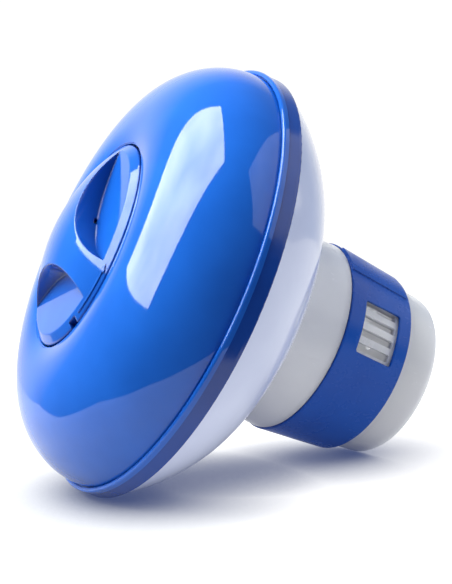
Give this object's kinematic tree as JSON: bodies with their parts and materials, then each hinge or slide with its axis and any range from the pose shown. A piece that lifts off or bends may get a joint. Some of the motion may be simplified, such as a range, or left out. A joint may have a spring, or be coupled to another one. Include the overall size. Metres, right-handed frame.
{
  "type": "floating chlorine dispenser",
  "caption": "Round two-shell pool float on a slotted tablet canister, with a bayonet lid on top and a turning collar that opens or closes the vents.",
  "frame": {"origin": "centre of the canister's flat base, which is the bottom centre of the bounding box", "axes": "+Z is the axis of revolution and points up, from the canister's base to the lid; the first vent window faces -Y, turned 20.5 degrees towards +X"},
  "size_m": [0.2032, 0.2032, 0.1809],
  "materials": {
    "blue_gloss": "glossy moulded polypropylene, saturated blue",
    "blue_band": "glossy moulded polypropylene, blue",
    "blue_satin": "satin moulded polypropylene, blue",
    "white_gloss": "glossy moulded polypropylene, slightly bluish white",
    "white_satin": "satin moulded polypropylene, warm white",
    "seal_rubber": "soft black rubber"
  },
  "bodies": {
    "float": {"float_dome": "blue_gloss", "rim_band": "blue_band", "float_bowl": "white_gloss", "rim_seal": "seal_rubber", "mouth_gasket": "seal_rubber", "neck_seal": "seal_rubber", "canister": "white_satin", "mouth_ring": "white_satin"},
    "collar": {"vent_collar": "blue_satin"},
    "seal": {"lid_seal": "seal_rubber"},
    "lid": {"lid": "blue_gloss"}
  },
  "joints": [
    {"name": "collar_turn", "type": "hinge", "parent": "float", "child": "collar", "pos_m": [0, 0, 0.038], "axis": [0, 0, 1], "range_deg": [0, 36]},
    {"name": "lid_lift", "type": "slide", "parent": "float", "child": "seal", "axis": [0, 0, 1], "range_m": [0, 0.06]},
    {"name": "lid_turn", "type": "hinge", "parent": "seal", "child": "lid", "pos_m": [0, 0, 0.16], "axis": [0, 0, 1], "range_deg": [0, 45]}
  ]
}
